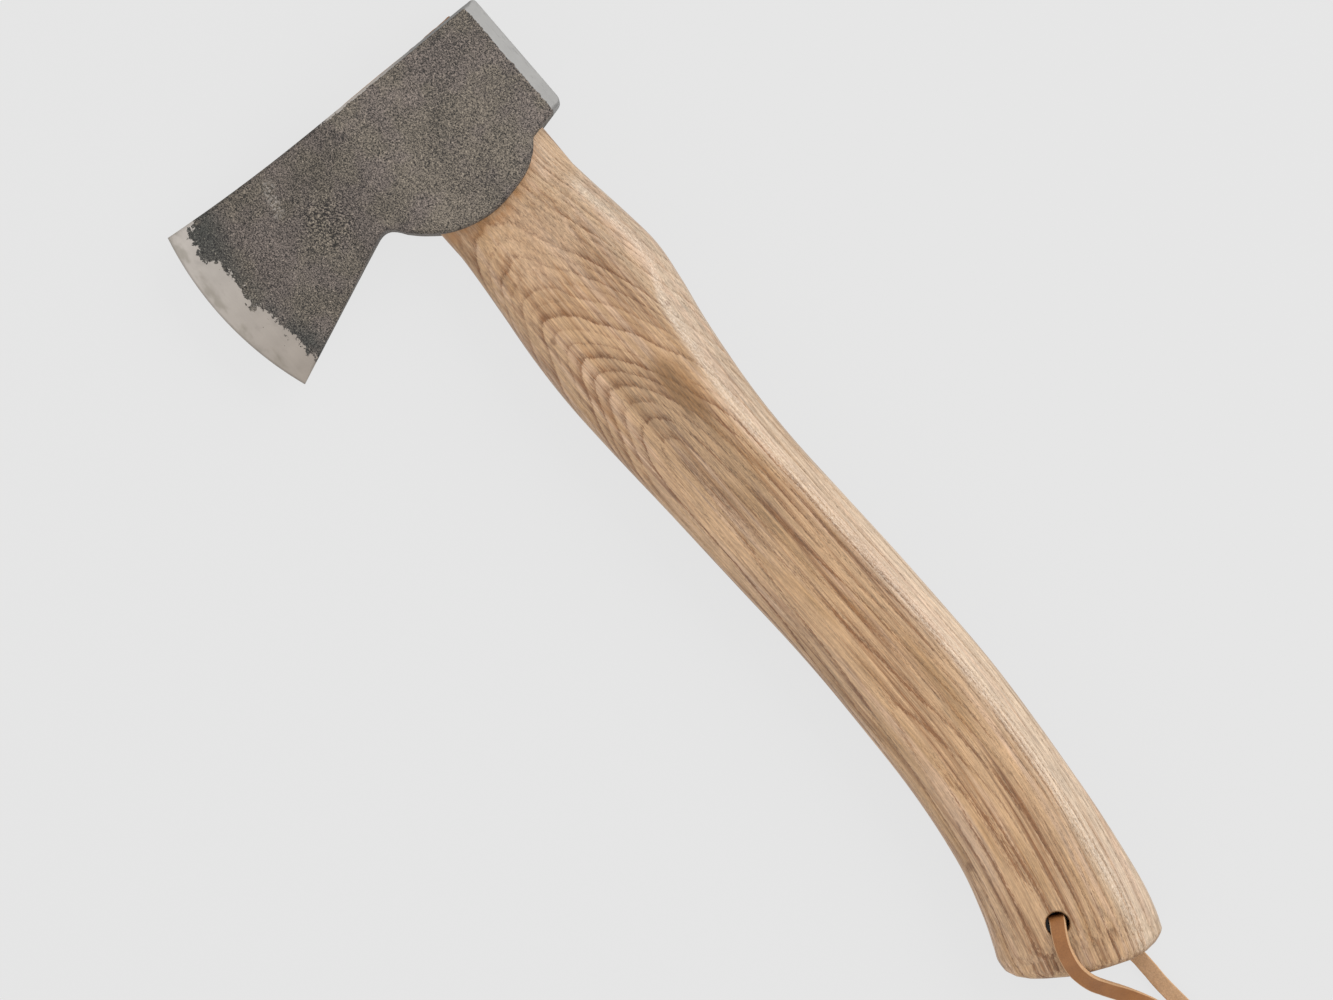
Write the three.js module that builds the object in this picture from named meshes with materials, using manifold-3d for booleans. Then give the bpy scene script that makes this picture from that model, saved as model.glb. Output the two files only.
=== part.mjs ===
// Carving hatchet: a forged bearded head on a curved ash haft, held by a wooden wedge and a steel ring
// wedge, with a doubled leather lace knotted into a wrist loop at the butt.
//
// Millimetres. The hatchet lies on its side. X runs along the haft, from the butt to the top of the head.
// Y runs from the poll to the cutting edge, and Z is up through the cheeks. Shapes are drawn with x = 0
// at the butt, y = 0 on the poll face and z = 0 on the surface that the hatchet lies on. The group then
// moves so that the origin is at the bottom centre of the tool's box, which leaves out the lace.
import * as THREE from "three";
import { mergeVertices } from "three/addons/utils/BufferGeometryUtils.js";
import Module from "manifold-3d";

const wasm = await Module();
wasm.setup();

// Whole tool
const BUTT_X = -1.5; // furthest point of the domed butt
const TOE_X = 328.1; // upper corner of the cutting edge
const HEAD_THICKNESS = 26; // across the cheeks at the eye
const MID_Z = HEAD_THICKNESS / 2;
const GAP = 0.3; // clearance between touching pieces

// Head
const EDGE_CENTRE = new THREE.Vector2(304, 14.1); // centre of the cutting edge's arc
const EDGE_RADIUS = 97.4;
const EDGE_Y = EDGE_CENTRE.y + EDGE_RADIUS;
const EDGE_FLAT = 0.15; // half of the thickness left at the very edge
const TOE_ANGLE = THREE.MathUtils.degToRad(75.7);
const HEEL_ANGLE = THREE.MathUtils.degToRad(109.2);
const OUTLINE_MARGIN = 0.6; // how far the outline runs past the edge, which the wedge shape then trims
const POLL_LOW_X = 285.4;
const POLL_HIGH_X = 322.6;
const POLL_CORNER = 1.4;
const POLL_FACE_THICKNESS = 18.4;
const POLL_CHAMFER = { width: 3.8, thickness: 22.6 }; // ground strip between the poll face and each cheek
const CHEEK_START_Y = 16; // the head has its full thickness from here to the front of the eye

// Half thickness of the blade against distance from EDGE_CENTRE, from the cheek to the ground bevel.
const BLADE_PROFILE = [
  [38, 13],
  [44, 12.3],
  [51, 10.2],
  [58, 8],
  [66, 6],
  [76, 4.3],
  [88, 2.8],
];

// Eye and the tongue in it: x, y at the poll side, y at the bit side, thickness.
const EYE_BOTTOM = [270, 8.8, 49.8, 16];
const EYE_TOP = [330, 8.1, 50.7, 18.2];
const EYE_POWER = 2.4;
const TONGUE_START_X = 275;
const TONGUE_END_X = 323.4; // at the middle of the eye; the end leans by TONGUE_LEAN to each side of this
const TONGUE_LEAN = 0.6;

// Haft: x and y of the back, x and y of the belly, and thickness, from the butt to the head.
const HAFT_STATIONS = [
  [0.3, 23.4, 19.6, 64.6, 18.5],
  [5.6, 21.3, 23.2, 64.3, 20.6],
  [14, 18.9, 27, 62.7, 21.6],
  [26, 16.8, 36, 59.2, 21.8],
  [45, 14.3, 50, 55.2, 22],
  [70, 12, 71, 52.2, 22.2],
  [95, 10.7, 95, 50.8, 22.4],
  [125, 10.9, 124, 50.4, 22.8],
  [150, 11.7, 150, 51.3, 23.2],
  [172, 12.2, 172, 52.2, 24],
  [192, 11.4, 193, 53.1, 25],
  [212, 9.1, 212, 53.8, 25.8],
  [226, 6.7, 225, 53.7, 26],
  [238, 5.5, 238, 52.8, 26],
  [250, 6.5, 250, 51.5, 24.4],
  [262, 8, 262, 50.3, 20.8],
  [270, 8.9, 270, 49.7, 17.4],
];
const HAFT_POWER = 2.7; // 2 is an ellipse, and more is squarer
const HAFT_STEPS = 40;
const BUTT_DOME = 6.7;
const BUTT_POWER = 2.05;
const BUTT_STEPS = 5;
const HOLE = { x: 20.7, y: 44.9, radius: 3.35 };

// Wedges
const KERF = { bottomX: 287, topThickness: 4, bottomThickness: 1 };
const RING_WEDGE = { y: 29.4, outer: 6.5, inner: 4.7, depth: 11 };

// Leather lace: 4.5 mm wide and 1.8 mm thick, 0.1 mm off the surface where it lies flat. Each strand
// starts inside the hole, half way through the haft, and runs to the knot.
const LACE = { width: 4.5, thickness: 1.8, samples: 46, tailSamples: 8 };
const FRONT_STRAND = [
  [21.4, 44.2, 13.2],
  [21.4, 44.2, 17],
  [21.4, 44.2, 20.6],
  [20.7, 44.8, 23.8],
  [18.4, 46.4, 24.9],
  [14, 48.4, 25],
  [9, 49.5, 24.6],
  [5, 49.3, 22.8],
  [1.4, 48.3, 19.3],
  [-2.2, 46.5, 14.8],
  [-6.3, 44.2, 9.8],
  [-10.4, 42.1, 5.5],
  [-15.2, 39.9, 2.6],
  [-20.5, 38.2, 1.3],
  [-27, 37.3, 1],
  [-38, 37.6, 1],
  [-52, 38.4, 1],
  [-66, 38, 1],
  [-80, 36.6, 1],
  [-91, 35.8, 1],
  [-99, 35.6, 1.2],
];
const REAR_STRAND = [
  [21.4, 44.2, 12.8],
  [21.4, 44.4, 9],
  [21.3, 44.5, 5],
  [20.2, 44.1, 2.3],
  [18, 43.1, 1.1],
  [15.4, 41.8, 1],
  [11, 39.4, 1],
  [4.6, 36, 1],
  [-1.3, 33.9, 1],
  [-7.2, 33.6, 1],
  [-13, 33.6, 1],
  [-26, 32.6, 1],
  [-40, 31.3, 1],
  [-54, 30, 1],
  [-68, 29.4, 1],
  [-81, 30, 1],
  [-91, 30.6, 1],
  [-99, 30.6, 1.2],
];
const FRONT_TAIL = [
  [-112, 35.6, 1.2],
  [-119, 36, 1],
  [-127, 37.6, 1],
  [-134, 39.6, 1],
];
const REAR_TAIL = [
  [-112, 30.6, 1.2],
  [-119, 30.4, 1],
  [-126, 29, 1],
  [-132, 27, 1],
];
const KNOT = { x: -105.5, y: 33.1, length: 12, width: 11, height: 7.4 };

const RING_SIDES = 28;

function finish(color, roughness, metalness) {
  return new THREE.MeshStandardMaterial({ color, roughness, metalness });
}

const forgedSteel = finish(0x5a5450, 0.6, 0.9);
const ash = finish(0xc9a57c, 0.55, 0);
const darkWood = finish(0xa97f52, 0.6, 0);
const brightSteel = finish(0xb9b7b2, 0.35, 1);
const leather = finish(0xb07f52, 0.7, 0);

// A closed three.js geometry as a manifold-3d solid.
function solidFrom(geometry) {
  const bare = new THREE.BufferGeometry();
  bare.setAttribute("position", geometry.getAttribute("position"));
  bare.setIndex(geometry.getIndex());
  const merged = mergeVertices(bare, 1e-4);
  const corners = merged.getIndex().array;
  const kept = [];
  // A lathe leaves triangles of no area where its profile meets the axis.
  for (let i = 0; i < corners.length; i += 3) {
    const [a, b, c] = corners.slice(i, i + 3);
    if (a !== b && b !== c && c !== a) kept.push(a, b, c);
  }
  return new wasm.Manifold(
    new wasm.Mesh({
      numProp: 3,
      vertProperties: new Float32Array(merged.getAttribute("position").array),
      triVerts: new Uint32Array(kept),
    }),
  );
}

function meshFrom(name, solid, material) {
  const { vertProperties, triVerts } = solid.getMesh();
  const geometry = new THREE.BufferGeometry();
  geometry.setAttribute("position", new THREE.BufferAttribute(vertProperties, 3));
  geometry.setIndex(new THREE.BufferAttribute(triVerts, 1));
  geometry.computeVertexNormals();
  const mesh = new THREE.Mesh(geometry, material);
  mesh.name = name;
  return mesh;
}

// A closed skin through rings of equal count, each anticlockwise seen from the last ring's side, with a
// fan of triangles over each end.
function loft(rings) {
  const sides = rings[0].length;
  const points = rings.flat();
  const index = [];
  for (let r = 0; r + 1 < rings.length; r++) {
    for (let i = 0; i < sides; i++) {
      const a = r * sides + i;
      const b = r * sides + ((i + 1) % sides);
      index.push(a, b, b + sides, a, b + sides, a + sides);
    }
  }
  for (const [ring, flip] of [[0, true], [rings.length - 1, false]]) {
    const centre = points.length;
    points.push(meanOf(rings[ring]));
    for (let i = 0; i < sides; i++) {
      const a = ring * sides + i;
      const b = ring * sides + ((i + 1) % sides);
      index.push(...(flip ? [centre, b, a] : [centre, a, b]));
    }
  }
  const geometry = new THREE.BufferGeometry().setFromPoints(points);
  geometry.setIndex(index);
  return geometry;
}

function meanOf(ring) {
  const mean = new THREE.Vector3();
  ring.forEach((point) => mean.add(point));
  return mean.divideScalar(ring.length);
}

// A superellipse whose long axis runs from low to high in the XY plane and whose short axis is along Z.
function ovalRing(low, high, thickness, power) {
  const middle = low.clone().add(high).multiplyScalar(0.5);
  const half = high.clone().sub(low).multiplyScalar(0.5);
  const bulge = (value) => Math.sign(value) * Math.abs(value) ** (2 / power);
  const ring = [];
  for (let i = 0; i < RING_SIDES; i++) {
    const angle = (2 * Math.PI * i) / RING_SIDES;
    const along = bulge(Math.cos(angle));
    const up = bulge(Math.sin(angle)) * (thickness / 2);
    ring.push(new THREE.Vector3(middle.x + half.x * along, middle.y + half.y * along, MID_Z + up));
  }
  return ring;
}

// The eye's section at x, drawn in by inset all round. Its bit side lies lean further along X than x, and
// its poll side as much nearer.
function eyeRing(x, inset, lean = 0) {
  const share = (x - EYE_BOTTOM[0]) / (EYE_TOP[0] - EYE_BOTTOM[0]);
  const [low, high, thickness] = [1, 2, 3].map((i) =>
    THREE.MathUtils.lerp(EYE_BOTTOM[i], EYE_TOP[i], share),
  );
  return ovalRing(
    new THREE.Vector2(x - lean, low + inset),
    new THREE.Vector2(x + lean, high - inset),
    thickness - 2 * inset,
    EYE_POWER,
  );
}

function tongueRings() {
  return [eyeRing(TONGUE_START_X, GAP), eyeRing(TONGUE_END_X, GAP, TONGUE_LEAN)];
}

function headOutline() {
  const reach = EDGE_RADIUS + OUTLINE_MARGIN;
  const outline = new THREE.Shape();
  outline.moveTo(POLL_LOW_X + POLL_CORNER, 0);
  outline.lineTo(POLL_HIGH_X - POLL_CORNER, 0);
  outline.quadraticCurveTo(POLL_HIGH_X, 0, POLL_HIGH_X + 0.1, POLL_CORNER);
  outline.lineTo(323.5, 45);
  outline.quadraticCurveTo(324.5, 80, 328.1, EDGE_Y - 2.8);
  outline.absarc(EDGE_CENTRE.x, EDGE_CENTRE.y, reach, TOE_ANGLE, HEEL_ANGLE, false);
  // Straight underside of the beard, then the small round notch behind it.
  outline.lineTo(288.7, 64.8);
  outline.bezierCurveTo(290.2, 61.2, 289.3, 59.4, 285.4, 57.1);
  // Lobe of the cheek, which laps over the haft.
  outline.splineThru([
    new THREE.Vector2(281.6, 53.3),
    new THREE.Vector2(276.9, 46.8),
    new THREE.Vector2(274.1, 38.5),
    new THREE.Vector2(273.8, 30.8),
    new THREE.Vector2(275.6, 21.8),
    new THREE.Vector2(278.7, 16.1),
    new THREE.Vector2(282.3, 12.6),
  ]);
  outline.lineTo(283.2, 8.2);
  outline.lineTo(284.6, 1.6);
  outline.quadraticCurveTo(POLL_LOW_X - 0.1, 0, POLL_LOW_X + POLL_CORNER, 0);
  return outline;
}

// Seen along X: the poll face, the ground strip on each side of it, and the swell up to the cheeks.
function headSection() {
  const steps = [
    [0, POLL_FACE_THICKNESS],
    [POLL_CHAMFER.width, POLL_CHAMFER.thickness],
    [CHEEK_START_Y, HEAD_THICKNESS],
    [EDGE_Y + 1, HEAD_THICKNESS],
  ];
  const upper = steps.map(([y, thickness]) => new THREE.Vector2(y, MID_Z + thickness / 2));
  const lower = steps.map(([y, thickness]) => new THREE.Vector2(y, MID_Z - thickness / 2));
  return new THREE.Shape([...lower, ...upper.reverse()]);
}

function axeHead() {
  const blank = new THREE.ExtrudeGeometry(headOutline(), {
    depth: HEAD_THICKNESS,
    bevelEnabled: false,
    curveSegments: 20,
  });
  const blade = [
    [0, MID_Z],
    ...BLADE_PROFILE,
    [EDGE_RADIUS, EDGE_FLAT],
  ];
  const wedge = new THREE.LatheGeometry(
    [
      ...blade.map(([radius, half]) => new THREE.Vector2(radius, -half)),
      ...blade.reverse().map(([radius, half]) => new THREE.Vector2(radius, half)),
    ],
    120,
  );
  wedge.rotateX(Math.PI / 2);
  wedge.translate(EDGE_CENTRE.x, EDGE_CENTRE.y, MID_Z);
  // The section is drawn in the XY plane, then turned so that it runs along X.
  const section = new THREE.ExtrudeGeometry(headSection(), {
    depth: TOE_X - POLL_LOW_X + 40,
    bevelEnabled: false,
  });
  section.applyMatrix4(
    new THREE.Matrix4().makeBasis(
      new THREE.Vector3(0, 1, 0),
      new THREE.Vector3(0, 0, 1),
      new THREE.Vector3(1, 0, 0),
    ),
  );
  section.translate(POLL_LOW_X - 20, 0, 0);
  const eye = loft([eyeRing(EYE_BOTTOM[0], 0), eyeRing(EYE_TOP[0], 0)]);
  return solidFrom(blank)
    .intersect(solidFrom(wedge))
    .intersect(solidFrom(section))
    .subtract(solidFrom(eye));
}

function haftRings() {
  const curve = (a, b) =>
    new THREE.SplineCurve(
      HAFT_STATIONS.map((station) => new THREE.Vector2(station[a], station[b])),
    );
  const back = curve(0, 1);
  const belly = curve(2, 3);
  const thickness = curve(0, 4);
  const rings = [];
  // Domed butt: the first section shrinks as it moves out along the haft's own direction.
  const [low, high] = [back.getPoint(0), belly.getPoint(0)];
  const middle = low.clone().add(high).multiplyScalar(0.5);
  const across = high.clone().sub(low).normalize();
  const outward = new THREE.Vector2(-across.y, across.x);
  for (let i = BUTT_STEPS; i > 0; i--) {
    const angle = (Math.PI / 2) * (i / (BUTT_STEPS + 0.4));
    const shrink = Math.cos(angle) ** (2 / BUTT_POWER);
    const shift = outward.clone().multiplyScalar(BUTT_DOME * Math.sin(angle) ** (2 / BUTT_POWER));
    const ends = [low, high].map((end) => end.clone().lerp(middle, 1 - shrink).add(shift));
    rings.push(ovalRing(ends[0], ends[1], thickness.getPoint(0).y * shrink, HAFT_POWER));
  }
  for (let i = 0; i <= HAFT_STEPS; i++) {
    const t = i / HAFT_STEPS;
    const thick = Math.min(thickness.getPoint(t).y, HEAD_THICKNESS);
    rings.push(ovalRing(back.getPoint(t), belly.getPoint(t), thick, HAFT_POWER));
  }
  rings.push(...tongueRings());
  return rings;
}

// The slot's wedge shape along X, grown by margin on every side but the top, which runs on past topX.
function wedgeBlock(bottomX, topX, margin) {
  const width = 60;
  const bottom = KERF.bottomThickness / 2 + margin;
  const top = KERF.topThickness / 2 + margin;
  const shape = new THREE.Shape([
    new THREE.Vector2(bottomX - margin, -bottom),
    new THREE.Vector2(topX, -top),
    new THREE.Vector2(topX, top),
    new THREE.Vector2(bottomX - margin, bottom),
  ]);
  const block = new THREE.ExtrudeGeometry(shape, { depth: width, bevelEnabled: false });
  block.rotateX(-Math.PI / 2);
  block.translate(0, 0, MID_Z);
  return solidFrom(block);
}

// A ring whose axis is along X, with its outer end at topX.
function wedgeRing(topX, depth, inner, outer) {
  const profile = [
    new THREE.Vector2(inner, 0),
    new THREE.Vector2(outer, 0),
    new THREE.Vector2(outer, depth),
    new THREE.Vector2(inner, depth),
    new THREE.Vector2(inner, 0),
  ];
  const ring = new THREE.LatheGeometry(profile, 32);
  ring.rotateZ(-Math.PI / 2);
  ring.translate(topX - depth, RING_WEDGE.y, MID_Z);
  return solidFrom(ring);
}

function ringWedge() {
  return wedgeRing(TONGUE_END_X - 0.1, RING_WEDGE.depth, RING_WEDGE.inner, RING_WEDGE.outer);
}

function ringPocket() {
  return wedgeRing(
    TONGUE_END_X + 1,
    RING_WEDGE.depth + 1.1 + GAP,
    RING_WEDGE.inner - GAP,
    RING_WEDGE.outer + GAP,
  );
}

function haft() {
  const hole = new THREE.CylinderGeometry(HOLE.radius, HOLE.radius, 2 * HEAD_THICKNESS, 24);
  hole.rotateX(Math.PI / 2);
  hole.translate(HOLE.x, HOLE.y, MID_Z);
  return solidFrom(loft(haftRings()))
    .subtract(wedgeBlock(KERF.bottomX, TONGUE_END_X + 2 * TONGUE_LEAN, GAP))
    .subtract(ringPocket())
    .subtract(solidFrom(hole));
}

function woodenWedge() {
  return solidFrom(loft(tongueRings()))
    .intersect(wedgeBlock(KERF.bottomX, TONGUE_END_X + 2 * TONGUE_LEAN, 0))
    .subtract(ringPocket());
}

// A flat strap along a route. Its width stays level, and where the route climbs straight up it keeps the
// heading that it has outside the hole.
function strap(route, samples) {
  const curve = new THREE.CatmullRomCurve3(route.map((point) => new THREE.Vector3(...point)));
  const places = [];
  for (let i = 0; i <= samples; i++) {
    places.push({ point: curve.getPointAt(i / samples), tangent: curve.getTangentAt(i / samples) });
  }
  const level = (tangent) => Math.hypot(tangent.x, tangent.y);
  const firstLevel = places.findIndex(({ tangent }) => level(tangent) > 0.6);
  return loft(
    places.map(({ point, tangent }, i) => {
      const heading = places[Math.max(i, firstLevel)].tangent;
      const side = new THREE.Vector3(-heading.y, heading.x, 0).normalize();
      const normal = tangent.clone().cross(side).normalize();
      return strapRing(point, side, normal);
    }),
  );
}

// An eight-sided section: a rectangle with its corners cut off.
function strapRing(point, side, normal) {
  const [w, t] = [LACE.width / 2, LACE.thickness / 2];
  const cut = 0.5;
  const corners = [
    [w, -t + cut],
    [w, t - cut],
    [w - cut, t],
    [-w + cut, t],
    [-w, t - cut],
    [-w, -t + cut],
    [-w + cut, -t],
    [w - cut, -t],
  ];
  return corners.map(([across, up]) =>
    point.clone().addScaledVector(side, across).addScaledVector(normal, up),
  );
}

function knot() {
  const ball = new THREE.SphereGeometry(0.5, 16, 10);
  ball.scale(KNOT.length, KNOT.width, KNOT.height);
  ball.translate(KNOT.x, KNOT.y, KNOT.height / 2 + 0.1);
  return solidFrom(ball);
}

function strandSolid(route, samples) {
  return solidFrom(strap(route, samples));
}

const hatchet = new THREE.Group();
hatchet.add(
  meshFrom("axe_head", axeHead(), forgedSteel),
  meshFrom("haft", haft(), ash),
  meshFrom("wooden_wedge", woodenWedge(), darkWood),
  meshFrom("steel_ring_wedge", ringWedge(), brightSteel),
  meshFrom("lace_front_strand", strandSolid(FRONT_STRAND, LACE.samples), leather),
  meshFrom("lace_rear_strand", strandSolid(REAR_STRAND, LACE.samples), leather),
  meshFrom("lace_knot", knot(), leather),
  meshFrom("lace_front_tail", strandSolid(FRONT_TAIL, LACE.tailSamples), leather),
  meshFrom("lace_rear_tail", strandSolid(REAR_TAIL, LACE.tailSamples), leather),
);
hatchet.position.set(-(BUTT_X + TOE_X) / 2, -EDGE_Y / 2, 0);

export default hatchet;
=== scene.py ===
# Carving hatchet lying on its side: forged bearded head, curved ash haft, wedges and leather lace.
# Shapes are drawn in millimetres, with x = 0 at the butt, y = 0 on the poll face and z = 0 on the floor,
# and row() turns them into the frame's metres.
import math

import bmesh
import bpy
import numpy as np
from mathutils import Matrix, Vector, noise


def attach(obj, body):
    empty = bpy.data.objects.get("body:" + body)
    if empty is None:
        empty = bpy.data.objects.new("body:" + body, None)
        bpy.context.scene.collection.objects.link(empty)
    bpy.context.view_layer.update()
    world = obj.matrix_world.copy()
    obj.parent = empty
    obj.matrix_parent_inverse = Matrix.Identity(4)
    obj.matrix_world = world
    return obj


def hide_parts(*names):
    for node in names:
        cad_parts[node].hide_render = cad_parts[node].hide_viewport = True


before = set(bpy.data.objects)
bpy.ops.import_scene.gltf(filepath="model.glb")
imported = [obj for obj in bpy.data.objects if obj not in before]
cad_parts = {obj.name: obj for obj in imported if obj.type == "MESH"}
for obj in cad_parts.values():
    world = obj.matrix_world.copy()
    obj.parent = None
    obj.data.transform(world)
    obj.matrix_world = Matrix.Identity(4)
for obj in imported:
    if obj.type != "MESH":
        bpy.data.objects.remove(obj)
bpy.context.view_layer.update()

MM = 0.001
ORIGIN = np.array([163.3, 55.75, 0.0])  # the frame's origin, in the drawing's millimetres
MID_Z = 13.0
HALF_THICKNESS = 13.0


def row(points):
    return (np.asarray(points, float) - ORIGIN) * MM


# ---- Camera: straight down, with the haft running down to the right ----
VIEW_CENTRE = (181.386, 50.487, MID_Z)
VIEW_WIDTH = 0.3732
VIEW_DISTANCE = 2.4
RIGHT = Vector((-0.6523, -0.7579, 0))
UP = Vector((0.7579, -0.6523, 0))

scene = bpy.context.scene
camera = bpy.data.objects.new("camera", bpy.data.cameras.new("camera"))
scene.collection.objects.link(camera)
camera.data.sensor_width = 36
camera.data.lens = 36 * VIEW_DISTANCE / VIEW_WIDTH
camera.matrix_world = (
    Matrix.Translation(Vector(row(VIEW_CENTRE)) + Vector((0, 0, VIEW_DISTANCE)))
    @ Matrix((RIGHT, UP, Vector((0, 0, 1)))).transposed().to_4x4()
)
camera.data.clip_end = 100
scene.camera = camera
scene.view_settings.view_transform = "Standard"


# ---- Nodes ----
def maths(name):
    """A method that joins a value to another with a maths node."""
    return lambda value, other: value.op(name, other)


class Value:
    """A node's output, with arithmetic that adds nodes to its tree."""

    __add__ = __radd__ = maths("ADD")
    __sub__ = maths("SUBTRACT")
    __mul__ = __rmul__ = maths("MULTIPLY")
    __truediv__ = maths("DIVIDE")
    __pow__ = maths("POWER")

    def __init__(self, tree, socket):
        self.tree = tree
        self.socket = socket

    def op(self, name, *others):
        node = add_node(self.tree, "ShaderNodeMath", self, *others)
        node.operation = name
        return Value(self.tree, node.outputs[0])

    def __rsub__(self, other):
        return (self * -1) + other

    def step(self, low, high, to_low=0.0, to_high=1.0):
        """Smooth step from to_low, where this is low, to to_high, where it is high."""
        node = add_node(self.tree, "ShaderNodeMapRange", self, low, high, to_low, to_high)
        node.interpolation_type = "SMOOTHSTEP"
        return Value(self.tree, node.outputs[0])


def feed(tree, slot, value):
    """Links a node's input to a Value or a socket, or sets it to a number or a colour."""
    if isinstance(value, Value):
        value = value.socket
    if isinstance(value, bpy.types.NodeSocket):
        tree.links.new(value, slot)
    elif isinstance(value, tuple) and len(slot.default_value) == 4:
        slot.default_value = (*value, 1)
    else:
        slot.default_value = value


def add_node(tree, kind, *inputs, **named):
    """A new node in a tree, with its first inputs in order and others by name."""
    node = tree.nodes.new(kind)
    for key, value in [*enumerate(inputs), *named.items()]:
        feed(tree, node.inputs[key], value)
    return node


class Material:
    """A Principled material. Its x, y and z are the drawing's millimetres."""

    def __init__(self, name):
        self.material = bpy.data.materials.new(name)
        self.material.use_nodes = True
        self.tree = self.material.node_tree
        self.bsdf = self.tree.nodes["Principled BSDF"]
        place = self.node("ShaderNodeTexCoord").outputs["Object"]
        split = self.node("ShaderNodeSeparateXYZ", place)
        self.x, self.y, self.z = (Value(self.tree, split.outputs[i]) * 1000 + ORIGIN[i] for i in range(3))

    def node(self, kind, *inputs, **named):
        return add_node(self.tree, kind, *inputs, **named)

    def texture(self, kind, sizes, shift, **named):
        """A texture node with features of sizes millimetres, one number or one each along X, Y and Z."""
        if not isinstance(sizes, tuple):
            sizes = (sizes, sizes, sizes)
        at = (p / size + shift for p, size in zip((self.x, self.y, self.z), sizes))
        place = self.node("ShaderNodeCombineXYZ", *at).outputs[0]
        return self.node(kind, Vector=place, Scale=1.0, **named)

    def noise(self, sizes, detail=2.0, roughness=0.5, shift=0.0):
        """Noise from 0 to 1 about 0.5."""
        node = self.texture("ShaderNodeTexNoise", sizes, shift, Detail=detail, Roughness=roughness)
        return Value(self.tree, node.outputs["Fac"])

    def cells(self, sizes):
        """Distance from the middle of each of many cells."""
        return Value(self.tree, self.texture("ShaderNodeTexVoronoi", sizes, 0.0).outputs["Distance"])

    def random(self, value):
        """A random number for each whole value."""
        node = self.node("ShaderNodeTexWhiteNoise")
        node.noise_dimensions = "1D"
        feed(self.tree, node.inputs["W"], value.op("FLOOR"))
        return Value(self.tree, node.outputs["Value"])

    def attribute(self, name):
        node = self.node("ShaderNodeAttribute")
        node.attribute_name = name
        return Value(self.tree, node.outputs["Fac"])

    def mix(self, share, a, b):
        """Colour a where share is 0 and b where it is 1."""
        node = self.node("ShaderNodeMix")
        node.data_type = "RGBA"
        for index, value in ((0, share), (6, a), (7, b)):
            feed(self.tree, node.inputs[index], value)
        return node.outputs[2]

    def tint(self, colour, strength):
        """Colour times a number."""
        node = self.node("ShaderNodeVectorMath", colour)
        node.operation = "SCALE"
        feed(self.tree, node.inputs["Scale"], strength)
        return node.outputs[0]

    def set(self, name, value):
        feed(self.tree, self.bsdf.inputs[name], value)

    def bump(self, height, distance):
        """Height from 0 to 1 stands distance millimetres proud."""
        self.set("Normal", self.node("ShaderNodeBump", Height=height, Distance=distance * MM).outputs[0])


def srgb(r, g, b):
    """Linear colour from 0 to 255 values."""
    return tuple(c / 255 / 12.92 if c < 11 else ((c / 255 + 0.055) / 1.055) ** 2.4 for c in (r, g, b))


# ---- Mesh help ----
def mended(mesh, work):
    """Runs work on a mesh as a bmesh."""
    bm = bmesh.new()
    bm.from_mesh(mesh)
    work(bm)
    bm.to_mesh(mesh)
    bm.free()


def face_out(bm):
    bmesh.ops.recalc_face_normals(bm, faces=bm.faces)


def drop_thin_points(bm):
    """Joins two edges that only share a point with each other, which fold into doubled triangles."""
    bmesh.ops.dissolve_verts(bm, verts=[v for v in bm.verts if len(v.link_edges) == 2])


def mesh_object(name, points, faces):
    """A smooth-shaded object from points in the drawing's millimetres."""
    mesh = bpy.data.meshes.new(name)
    mesh.from_pydata(row(points).tolist(), [], faces)
    mesh.validate()
    mended(mesh, face_out)
    mesh.update()
    mesh.shade_smooth()
    obj = bpy.data.objects.new(name, mesh)
    scene.collection.objects.link(obj)
    return obj


def mark(obj, **values):
    """Gives each point of an object some values, which its material reads by name."""
    for key, each in values.items():
        attribute = obj.data.attributes.new(key, "FLOAT", "POINT")
        attribute.data.foreach_set("value", np.asarray(each, np.float32))


def points_of(obj):
    """A mesh's points, in the drawing's millimetres."""
    co = np.zeros(len(obj.data.vertices) * 3, np.float32)
    obj.data.vertices.foreach_get("co", co)
    return co.reshape(-1, 3) / MM + ORIGIN


def quads(ids, closed=False, joined=False):
    """Quads between rows of point numbers. closed joins each row's ends, joined the first and last rows."""
    if closed:
        ids = np.c_[ids, ids[:, 0]]
    if joined:
        ids = np.vstack([ids, ids[:1]])
    corners = (ids[:-1, :-1], ids[:-1, 1:], ids[1:, 1:], ids[1:, :-1])
    return np.stack(corners, -1).reshape(-1, 4).tolist()


def numbered(rows, columns, start=0):
    return start + np.arange(rows * columns).reshape(rows, columns)


def hermite(t, start, end, leave, arrive):
    """Cubic from start to end, with the slopes that it leaves and arrives with."""
    return (
        (2 * t**3 - 3 * t**2 + 1) * start
        + (t**3 - 2 * t**2 + t) * leave
        + (3 * t**2 - 2 * t**3) * end
        + (t**3 - t**2) * arrive
    )


def spline(points, count):
    """Uniform Catmull-Rom curve through points, with count samples for each span."""
    p = np.asarray(points, float)
    p = np.vstack([p[0], p, p[-1]])
    slopes = (p[2:] - p[:-2]) / 2
    t = np.arange(count)[:, None] / count
    spans = [hermite(t, *span) for span in zip(p[1:-2], p[2:-1], slopes[:-1], slopes[1:])]
    return np.vstack([*spans, p[-1]])


def smooth_interp(x, xs, ys):
    """Smooth curve through (xs, ys), which stays level beyond its ends."""
    xs, ys = np.asarray(xs, float), np.asarray(ys, float)
    slopes = np.gradient(ys, xs)
    x = np.clip(x, xs[0], xs[-1])
    i = np.clip(np.searchsorted(xs, x) - 1, 0, len(xs) - 2)
    h = xs[i + 1] - xs[i]
    return hermite((x - xs[i]) / h, ys[i], ys[i + 1], h * slopes[i], h * slopes[i + 1])


def bezier(points, count):
    """Bezier curve with any number of control points."""
    t = np.linspace(0, 1, count)[:, None]
    p = [np.asarray(point, float) for point in points]
    while len(p) > 1:
        p = [a * (1 - t) + b * t for a, b in zip(p, p[1:])]
    return p[0]


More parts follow.
